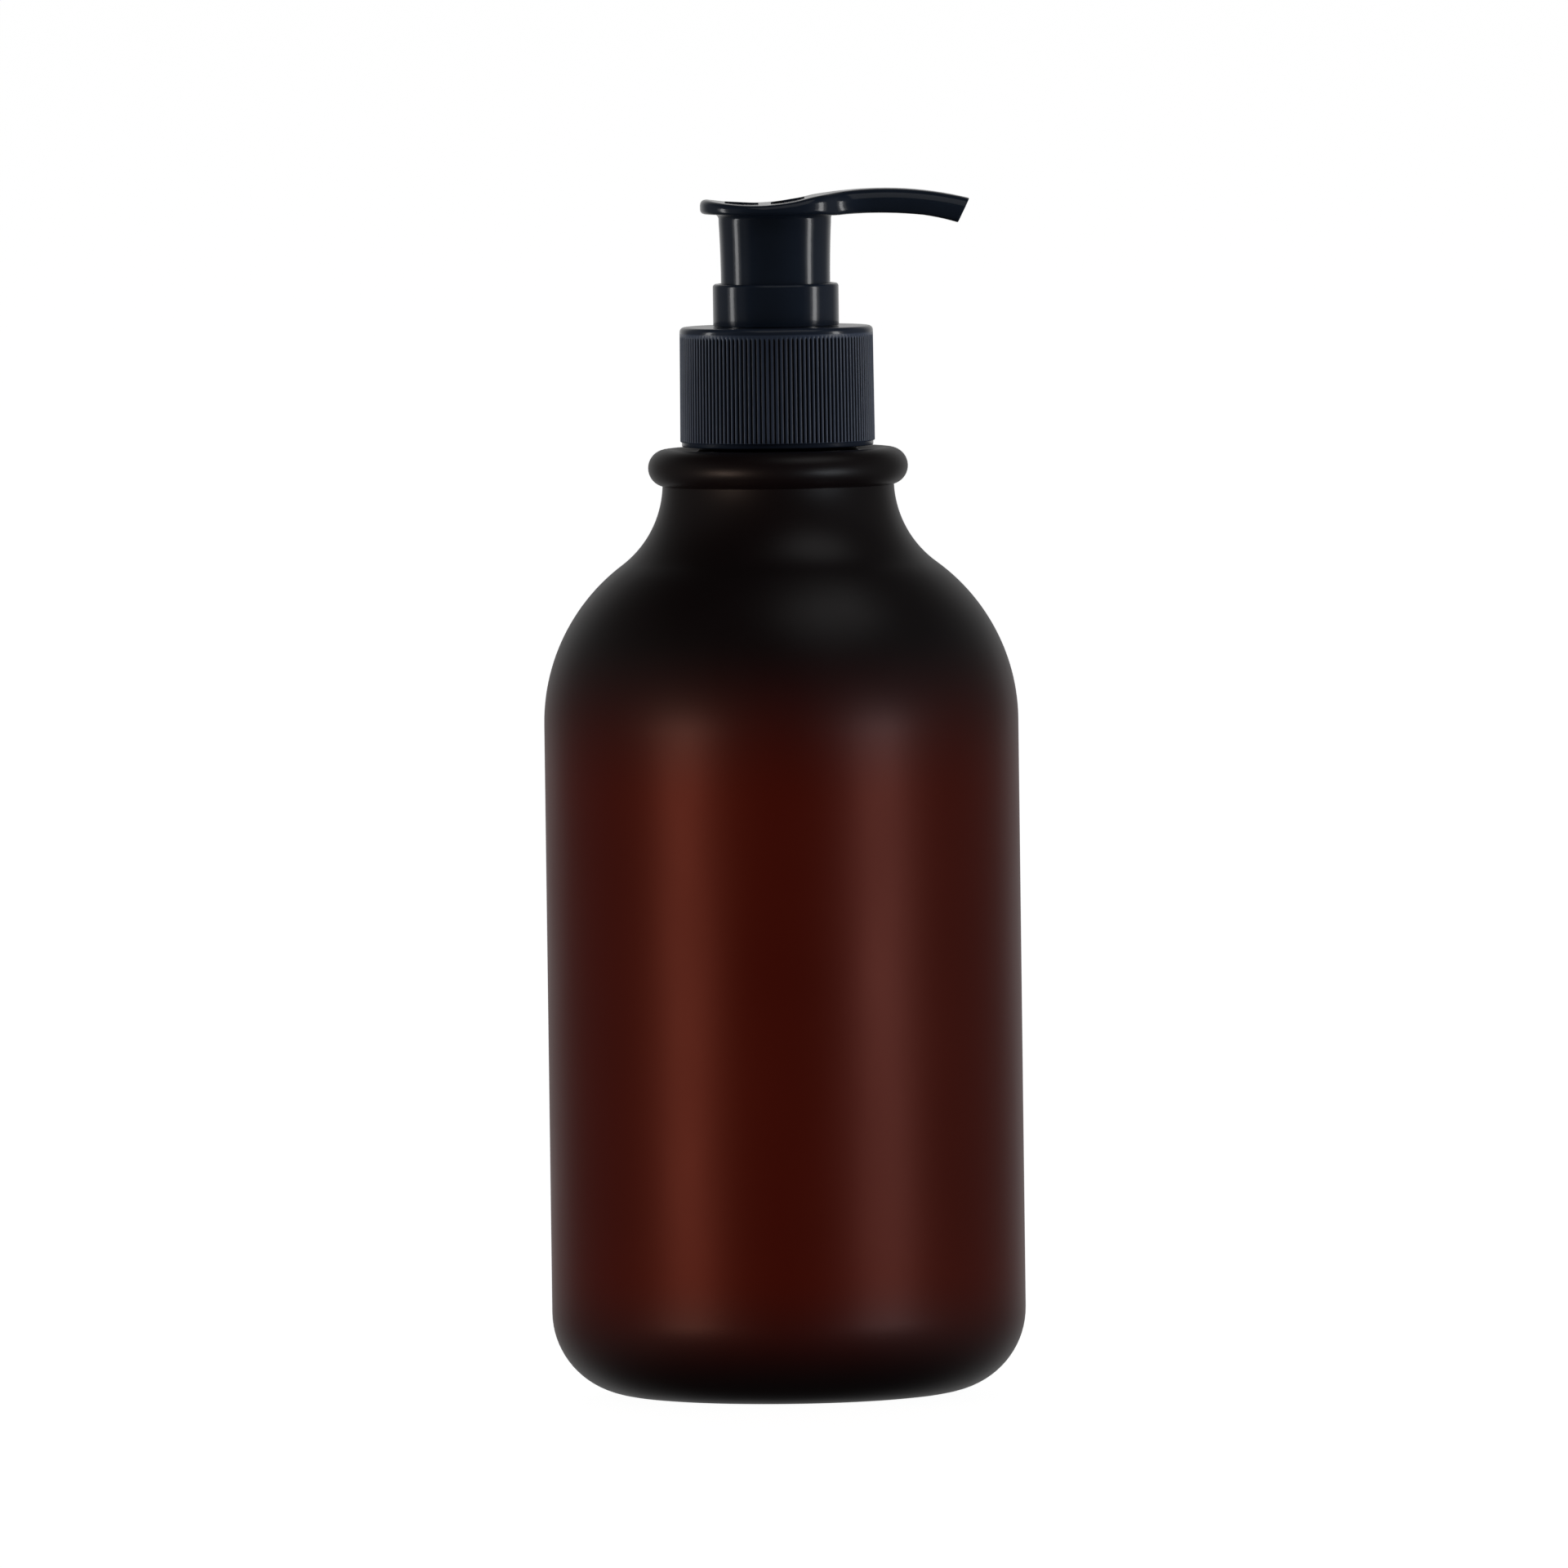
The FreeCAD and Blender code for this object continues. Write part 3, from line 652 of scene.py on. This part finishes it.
# %% Take the sharpness off the tip
def soften_tip(piece, width, segments):
    edit(piece)
    mesh = bmesh.from_edit_mesh(piece.data)
    weight = mesh.edges.layers.float.new("bevel_weight_edge")
    for rim in mesh.edges:
        at_tip = all(v.co.x > (tip_x - tip_slant - 0.3) * MM for v in rim.verts)
        if at_tip and len(rim.link_faces) == 2 and rim.calc_face_angle(0) > math.radians(45):
            rim[weight] = 1
    bmesh.update_edit_mesh(piece.data)
    apply_modifier(piece, "BEVEL", width=width * MM, segments=segments, limit_method="WEIGHT",
                   use_clamp_overlap=True, offset_type="OFFSET")


soften_tip(blade, 0.12, 2)
weld(blade)

# %% [markdown]
# ## The outlet
#
# The soap leaves through a round hole in the slanted tip. A cylinder along the spout's own line is cut
# out of the blade with a Boolean.

# %% Cut the outlet
channel_r = 1.4
channel_x = 28
channel_tilt = math.radians(103)


def cut_outlet(piece):
    middle = (upper_line(channel_x) + lower_line(channel_x)) / 2 - 0.1
    only()
    where = ((channel_x + 0.5) * MM, 0, middle * MM)
    bpy.ops.mesh.primitive_cylinder_add(vertices=32, radius=channel_r * MM, depth=12 * MM, location=where,
                                        rotation=(0, channel_tilt, 0))
    cutter = bpy.context.object
    bpy.ops.object.transform_apply(location=True, rotation=True)
    apply_modifier(piece, "BOOLEAN", object=cutter, operation="DIFFERENCE", solver="EXACT")
    bpy.data.objects.remove(cutter)


cut_outlet(blade)
print("blade with its outlet:", len(blade.data.polygons), "faces")

# %% [markdown]
# ## Marks on the thumb pad
#
# Raised marks on the pad show which way to turn the head. They are made here as two plain arrows, one for
# each way. Each is a flat outline, laid a fifth of a millimetre over the pad's hollow and extruded into it.

# %% Raise two arrows
mark_height, mark_depth = 0.2, 0.3


def arrow(start, length, width):
    """A raised arrow along X, from start to start + length, which may be negative."""
    way = math.copysign(1, length)
    neck = start + length - way * width
    half = width / 2
    outline = [(start, -half / 3), (neck, -half / 3), (neck, -half), (start + length, 0),
               (neck, half), (neck, half / 3), (start, half / 3)]
    mark = draw("arrow", [(x, 0) for x, _ in outline])
    mesh = bmesh.from_edit_mesh(mark.data)
    mesh.verts.ensure_lookup_table()
    for point, (x, y) in zip(mesh.verts, outline):
        point.co = Vector((x, y, 0)) * MM
    bmesh.update_edit_mesh(mark.data)
    bpy.ops.mesh.select_all(action="SELECT")
    bpy.ops.mesh.edge_face_add()
    place_points(mark, lambda p: (p.x, p.y, upper_line(p.x) + mark_height))
    bpy.ops.mesh.extrude_region_move()
    place_points(mark, lambda p: (p.x, p.y, upper_line(p.x) - mark_depth))
    weld(mark)
    return mark


marks = [arrow(-2.6, -5.4, 3.4), arrow(-0.6, 5.4, 3.4)]

# %% Join the head
head = join(blade, skirt, socket, *marks)
head.name = head.data.name = "pump_head"
smooth(head, 35)

# %% [markdown]
# ## The spring
#
# The coil that lifts the head is hidden, but it shortens when the head is pressed. A small circle is
# carried up a helix by the Screw modifier.

# %% Wind the spring
spring_r, wire_r, spring_turns = 4.2, 0.5, 8
spring_low, spring_high = (v.z for v in size_of("spring"))


def wind_spring():
    only()
    bpy.ops.mesh.primitive_circle_add(vertices=12, radius=wire_r * MM, fill_type="NGON",
                                      location=(spring_r * MM, 0, (spring_low + wire_r) * MM),
                                      rotation=(math.pi / 2, 0, 0))
    coil = bpy.context.object
    coil.name = coil.data.name = "coil_spring"
    bpy.ops.object.transform_apply(location=True, rotation=True)
    steps = 32 * spring_turns
    apply_modifier(coil, "SCREW", angle=2 * math.pi * spring_turns,
                   screw_offset=(spring_high - spring_low - 2 * wire_r) * MM, steps=steps, render_steps=steps)
    weld(coil)
    return coil


coil = wind_spring()
smooth(coil, 60)

# %% [markdown]
# ## Shader sums written as Python
#
# A finish is a small net of nodes. `Wire` stands for one output of a node, so a sum of wires is written
# as plain Python and becomes Math nodes. `Finish` adds any other node by its type, with its settings and
# the values of its sockets.

# %% Wires and finishes
class Wire:
    """One output of a shader node."""

    def __init__(self, finish, socket):
        self.finish = finish
        self.socket = socket

    def math(self, operation, *others, swap=False):
        values = [self, *others]
        if swap:
            values.reverse()
        return self.finish.add("ShaderNodeMath", {"operation": operation}, dict(enumerate(values)))

    def __add__(self, other): return self.math("ADD", other)
    def __radd__(self, other): return self.math("ADD", other)
    def __sub__(self, other): return self.math("SUBTRACT", other)
    def __rsub__(self, other): return self.math("SUBTRACT", other, swap=True)
    def __mul__(self, other): return self.math("MULTIPLY", other)
    def __rmul__(self, other): return self.math("MULTIPLY", other)
    def __pow__(self, other): return self.math("POWER", other)

    def ramp(self, low, high, start=0.0, end=1.0):
        """Smooth change from start to end while this wire goes from low to high."""
        sockets = {"Value": self, "From Min": low, "From Max": high, "To Min": start, "To Max": end}
        return self.finish.add("ShaderNodeMapRange", {"interpolation_type": "SMOOTHSTEP"}, sockets)


class Finish:
    """A material with a Principled shader, fed by wires and plain values."""

    def __init__(self, name):
        self.material = bpy.data.materials.new(name)
        self.material.use_nodes = True
        self.tree = self.material.node_tree
        self.shader = self.tree.nodes["Principled BSDF"]
        coordinates = self.add("ShaderNodeTexCoord", output="Object")
        to_mm = {0: coordinates, "Scale": 1 / MM}
        self.place = self.add("ShaderNodeVectorMath", {"operation": "SCALE"}, to_mm)
        parts = (self.add("ShaderNodeSeparateXYZ", {}, {0: self.place}, axis) for axis in "XYZ")
        self.x, self.y, self.z = parts

    def add(self, kind, settings=None, sockets=None, output=0):
        node = self.tree.nodes.new(kind)
        for name, value in (settings or {}).items():
            setattr(node, name, value)
        for name, value in (sockets or {}).items():
            self.feed(node.inputs[name], value)
        return Wire(self, node.outputs[output])

    def feed(self, socket, value):
        if isinstance(value, Wire):
            self.tree.links.new(value.socket, socket)
        else:
            socket.default_value = value

    def noise(self, size, detail, stretch=None):
        """Noise whose blobs are about size millimetres wide, from 0 to 1."""
        where = self.place
        if stretch:
            where = self.add("ShaderNodeVectorMath", {"operation": "MULTIPLY"}, {0: where, 1: stretch})
        return self.add("ShaderNodeTexNoise", {}, {"Vector": where, "Scale": 1 / size, "Detail": detail})

    def mix(self, share, first, second):
        """Colour between first and second."""
        node = self.tree.nodes.new("ShaderNodeMix")
        node.data_type = "RGBA"
        for name, value in (("Factor_Float", share), ("A_Color", first), ("B_Color", second)):
            self.feed(next(s for s in node.inputs if s.identifier == name), value)
        return Wire(self, next(s for s in node.outputs if s.identifier == "Result_Color"))

    def bump(self, height, depth, strength=1.0):
        """Normal from a height that runs over depth millimetres."""
        sockets = {"Height": height, "Distance": depth * MM, "Strength": strength}
        normal = self.add("ShaderNodeBump", {}, sockets)
        self.feed(self.shader.inputs["Normal"], normal)
        return normal

    def set(self, **values):
        for name, value in values.items():
            self.feed(self.shader.inputs[name.replace("_", " ")], value)
        return self.material


def grey(value):
    return (value, value, value, 1)


# %% [markdown]
# ## Frosted amber glass
#
# The glass is so dark that it looks solid, with a fine frost that spreads every reflection into a soft
# band. Light that comes through it is a deep red-brown, strongest in the straight wall, and it is painted
# into the colour: the wall gets a red base colour, a painted backlight, and the shoulder, neck and heel a
# near-black one, painted shade, whose reflections have no red in them. So the finish is two shaders, a red
# one and a dark one, mixed by height.
# The frost itself is a very fine grain, and its roughness changes a little from patch to patch.

# %% Amber glass
def amber_glass():
    finish = Finish("frosted_amber_glass")
    # Painted backlight and painted shade by height: 1 in the straight wall, which gets the red shader, 0 in
    # the heel, shoulder and neck, which get the near-black one.
    painted_backlight_share = finish.z.ramp(2, 22) * finish.z.ramp(124, 96)
    patches = finish.noise(26, 2)
    # The red of light shining through the wall, painted into the base colour.
    painted_backlit_red = finish.mix(patches, (0.100, 0.0070, 0.0026, 1), (0.125, 0.0100, 0.0040, 1))
    grain = finish.noise(0.16, 4)
    smears = finish.noise(9, 3, (1, 1, 0.35))
    normal = finish.bump(grain + smears * 0.6, 0.012, 0.5)
    rough = 0.36 + 0.08 * smears + 0.03 * patches
    finish.set(Base_Color=painted_backlit_red, Roughness=rough, IOR=1.52, Specular_Tint=(1.0, 0.30, 0.21, 1),
               Coat_Weight=0.05, Coat_Roughness=0.45, Coat_IOR=1.5)
    # The near-black of the shoulder, neck and heel: painted shade.
    painted_shade_dark = finish.mix(patches, (0.0085, 0.0042, 0.0050, 1), (0.0100, 0.0052, 0.0056, 1))
    dark = finish.add("ShaderNodeBsdfPrincipled", {}, {"Base Color": painted_shade_dark, "Roughness": rough, "IOR": 1.52,
                                                       "Specular IOR Level": 0.37, "Normal": normal})
    both = finish.add("ShaderNodeMixShader", {}, {0: painted_backlight_share, 1: dark, 2: Wire(finish, finish.shader.outputs[0])})
    finish.feed(finish.tree.nodes["Material Output"].inputs["Surface"], both)
    return finish.material


# %% [markdown]
# ## Two black plastics
#
# The pump is polypropylene from a polished mould, so it is glossy, with the faintest waves and a few
# hairlines. The closure comes from a matt mould: a satin skin with a fine grain, and polished above and
# below the ribs.
# The grooves between the ribs are painted almost black, a painted shade, and the crests lighter, a painted
# highlight; handling has also polished the crests a little smoother.

# %% Gloss and satin
def black_gloss():
    finish = Finish("black_gloss")
    waves = finish.noise(4.5, 2)
    hairlines = finish.noise(0.5, 2, (1, 1, 0.04))
    dust = finish.noise(0.35, 1).ramp(0.72, 0.8)
    finish.bump(waves + hairlines * 0.02, 0.02, 0.6)
    colour = finish.mix(waves, (0.024, 0.036, 0.062, 1), (0.030, 0.044, 0.074, 1))
    return finish.set(Base_Color=colour, Roughness=0.09 + 0.06 * waves + 0.12 * dust, IOR=1.49)


def black_satin():
    finish = Finish("black_satin")
    grain = finish.noise(0.22, 3)
    patches = finish.noise(6, 2)
    plain = finish.z.ramp(rib_low + 0.15, rib_low - 0.05) + finish.z.ramp(rib_high + 0.3, rib_high + 0.6)
    finish.bump((grain + patches * 0.4) * (1 - 0.8 * plain), 0.02, 0.7)
    radius = (finish.x * finish.x + finish.y * finish.y) ** 0.5
    lean = (finish.z - rib_low) * (cap_lean / (rib_high - rib_low))
    # Painted shade and painted highlight: the grooves get a near-black colour and the crests a lighter one,
    # and the crests are also smoother.
    crest_highlight_and_polish = (radius + lean).ramp(cap_r - 0.13, cap_r - 0.02)
    skin = finish.mix(patches, (0.088, 0.119, 0.195, 1), (0.106, 0.140, 0.222, 1))
    ribbed = finish.mix(crest_highlight_and_polish, (0.006, 0.008, 0.016, 1), skin)
    colour = finish.mix(plain, ribbed, (0.036, 0.050, 0.084, 1))
    return finish.set(Base_Color=colour, Roughness=(0.46 - 0.20 * crest_highlight_and_polish + 0.08 * grain) * (1 - 0.65 * plain),
                      IOR=1.49)


# %% [markdown]
# ## The finishes inside
#
# The cylinder, valves and dip tube are uncoloured polypropylene, slightly milky. The gasket is white
# closed-cell foam, and the spring and ball are drawn and polished stainless steel.

# %% Milky plastic, foam and steel
def natural_plastic():
    finish = Finish("natural_plastic")
    flow = finish.noise(5, 3, (1, 1, 0.25))
    grain = finish.noise(0.3, 2)
    finish.bump(flow + grain * 0.3, 0.02, 0.5)
    colour = finish.mix(flow, (0.60, 0.62, 0.60, 1), (0.72, 0.73, 0.70, 1))
    return finish.set(Base_Color=colour, Roughness=0.34 + 0.12 * flow, IOR=1.5)


def foam_gasket():
    finish = Finish("foam_gasket")
    cells = finish.add("ShaderNodeTexVoronoi", {}, {"Vector": finish.place, "Scale": 4.0}, "Distance")
    finish.bump(cells, 0.08, 0.8)
    colour = finish.mix(cells, grey(0.66), grey(0.82))
    return finish.set(Base_Color=colour, Roughness=0.8 + 0.1 * cells, IOR=1.5)


def stainless_steel():
    finish = Finish("stainless_steel")
    drawn = finish.noise(0.25, 3, (0.3, 0.3, 1))
    tint = finish.mix(drawn, (0.50, 0.49, 0.47, 1), (0.62, 0.61, 0.59, 1))
    finish.bump(drawn, 0.008, 0.5)
    return finish.set(Base_Color=tint, Metallic=1.0, Roughness=0.18 + 0.14 * drawn)


finishes = {make.__name__: make() for make in
            (black_gloss, black_satin, natural_plastic, foam_gasket, stainless_steel)}
finishes["frosted_amber_glass"] = amber_glass()
print("finishes:", ", ".join(sorted(finishes)))

# %% [markdown]
# ## Putting the pieces on the model
#
# Each new piece rides on the body that carries its CAD twin, and replaces that twin. The hidden CAD
# pieces stay and get their finishes. The spring rides with the pump and keeps its length here, though the real
# one shortens to 17 of its 27 mm as the head goes down.

# %% Ride, replace and finish
def dress(piece, body, node, finish):
    piece.data.materials.clear()
    piece.data.materials.append(finishes[finish])
    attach(piece, body)
    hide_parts(node)


dress(bottle, "bottle", "bottle", "frosted_amber_glass")
dress(closure, "closure", "closure", "black_satin")
dress(ring, "pump", "lock_ring", "black_gloss")
dress(head, "head", "actuator", "black_gloss")
dress(coil, "pump", "spring", "stainless_steel")
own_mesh(coil)

kept_nodes = {"housing": "natural_plastic", "dip_tube": "natural_plastic", "ball_cage": "natural_plastic",
              "piston_rod": "natural_plastic", "piston": "natural_plastic", "stem": "black_gloss",
              "gasket": "foam_gasket", "inlet_ball": "stainless_steel"}
for node, finish in kept_nodes.items():
    for material_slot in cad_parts[node].material_slots:
        material_slot.link = "OBJECT"
        material_slot.material = finishes[finish]

# %% [markdown]
# ## Floor, light and air
#
# The floor is a pale sheet that curves up far behind the bottle. Two tall strips at the sides draw the
# crisp lines on the glossy pump, and a weak panel overhead lights its top. Two softer panels nearer the
# camera draw the two wide bands on the frosted glass, and a third touches its shoulder. What stands behind
# is white, and gives the thin grey rims.

# %% Floor
def pale_sheet():
    only()
    bpy.ops.mesh.primitive_plane_add(size=8, location=(0, 0, 0))
    sheet = bpy.context.object
    sheet.name = "floor"
    edit(sheet)
    pick(sheet, lambda p: p.y > 0)
    bpy.ops.mesh.extrude_edges_move(TRANSFORM_OT_translate={"value": (0, 0, 4)})
    pick(sheet, lambda p: p.y > 0 and p.z < 1)
    bpy.ops.mesh.bevel(offset=1.2, segments=24, affect="EDGES")
    only(sheet)
    finish = Finish("pale_floor")
    shadow_side = finish.set(Base_Color=grey(0.8), Roughness=0.9)
    glow = finish.add("ShaderNodeEmission", {}, {"Color": grey(1), "Strength": 0.97})
    both = finish.add("ShaderNodeAddShader", {}, {0: Wire(finish, finish.shader.outputs[0]), 1: glow})
    seen = finish.add("ShaderNodeLightPath", output="Is Camera Ray")
    clear = finish.add("ShaderNodeBsdfTransparent")
    mixed = finish.add("ShaderNodeMixShader", {}, {0: seen, 1: clear, 2: both})
    finish.feed(finish.tree.nodes["Material Output"].inputs["Surface"], mixed)
    sheet.data.materials.append(shadow_side)
    smooth(sheet, 60)
    return sheet


pale_sheet()


# %% Lights
def panel(name, azimuth, distance, centre_z, width, height, radiance, receivers,
          elevation=0, colour=(1, 1, 1)):
    """A soft panel that lights these pieces. Azimuth 0 is at the camera's side and 90 is to the right."""
    data = bpy.data.lights.new(name, "AREA")
    data.shape = "RECTANGLE"
    data.size, data.size_y = width * MM, height * MM
    data.energy = radiance * math.pi * width * height * MM * MM
    data.color = colour
    light = bpy.data.objects.new(name, data)
    bpy.context.scene.collection.objects.link(light)
    turn, rise = math.radians(azimuth), math.radians(elevation)
    out = Vector((math.sin(turn) * math.cos(rise), -math.cos(turn) * math.cos(rise), math.sin(rise)))
    facing = (-out).to_track_quat("-Z", "Y").to_matrix().to_4x4()
    where = out * distance + Vector((0, 0, centre_z))
    light.matrix_world = facing.Translation(where * MM) @ facing
    light.visible_camera = False
    group = bpy.data.collections.new(name + "_lights")
    for piece in receivers:
        group.objects.link(piece)
    light.light_linking.receiver_collection = group


pump_pieces = [closure, ring, head]
warm, cool = (1.0, 0.74, 0.60), (0.86, 0.93, 1.0)
for side, azimuth, bright, colour in (("left", -88, 1.0, warm), ("right", 76, 1.25, cool)):
    panel(f"strip_{side}", azimuth, 800, 150, 120, 600, 3.3 * bright, pump_pieces)
    panel(f"glow_{side}", azimuth, 820, 150, 300, 600, 0.45 * bright, pump_pieces)
    panel(f"band_{side}", math.copysign(47, azimuth), 500, 45, 170, 150, 5.8, [bottle], colour=colour)
panel("over", 15, 900, 170, 1100, 800, 0.36, pump_pieces, elevation=62)
panel("shoulder", 52, 700, 120, 420, 300, 0.8, [bottle], elevation=64)

# %% World
world = bpy.data.worlds.new("air")
bpy.context.scene.world = world
world.use_nodes = True
tree = world.node_tree
tree.nodes.clear()


def world_node(kind, sockets=None, **settings):
    node = tree.nodes.new(kind)
    for name, value in settings.items():
        setattr(node, name, value)
    for name, value in (sockets or {}).items():
        if hasattr(value, "links"):
            tree.links.new(value, node.inputs[name])
        else:
            node.inputs[name].default_value = value
    return node


def world_ramp(value, low, high, start, end):
    sockets = {"Value": value, "From Min": low, "From Max": high, "To Min": start, "To Max": end}
    return world_node("ShaderNodeMapRange", sockets, interpolation_type="SMOOTHSTEP").outputs["Result"]


def world_math(operation, *values):
    return world_node("ShaderNodeMath", dict(enumerate(values)), operation=operation).outputs[0]


seen_way = world_node("ShaderNodeTexCoord").outputs["Generated"]
way = world_node("ShaderNodeSeparateXYZ", {"Vector": seen_way})
sides = world_ramp(way.outputs["Y"], -0.66, -0.40, 0.03, 0.13)
back = world_ramp(way.outputs["Y"], 0.60, 0.98, 0.0, 0.40)
level = world_ramp(world_math("ABSOLUTE", way.outputs["Z"]), 0.3, 0.85, 1.0, 0.12)
brightness = world_math("MULTIPLY", world_math("ADD", sides, back), level)
room = world_node("ShaderNodeBackground", {"Color": grey(1), "Strength": brightness})
white = world_node("ShaderNodeBackground", {"Color": grey(1), "Strength": 1.0})
seen = world_node("ShaderNodeLightPath").outputs["Is Camera Ray"]
mixed = world_node("ShaderNodeMixShader", {0: seen, 1: room.outputs[0], 2: white.outputs[0]})
world_node("ShaderNodeOutputWorld", {"Surface": mixed.outputs[0]})
bpy.context.scene.view_settings.view_transform = "Standard"

# %% [markdown]
# ## Clearing the selection
#
# The finished model has to fill the same box as the CAD model. The script ends by clearing the selection.

# %% Clear the selection
only()
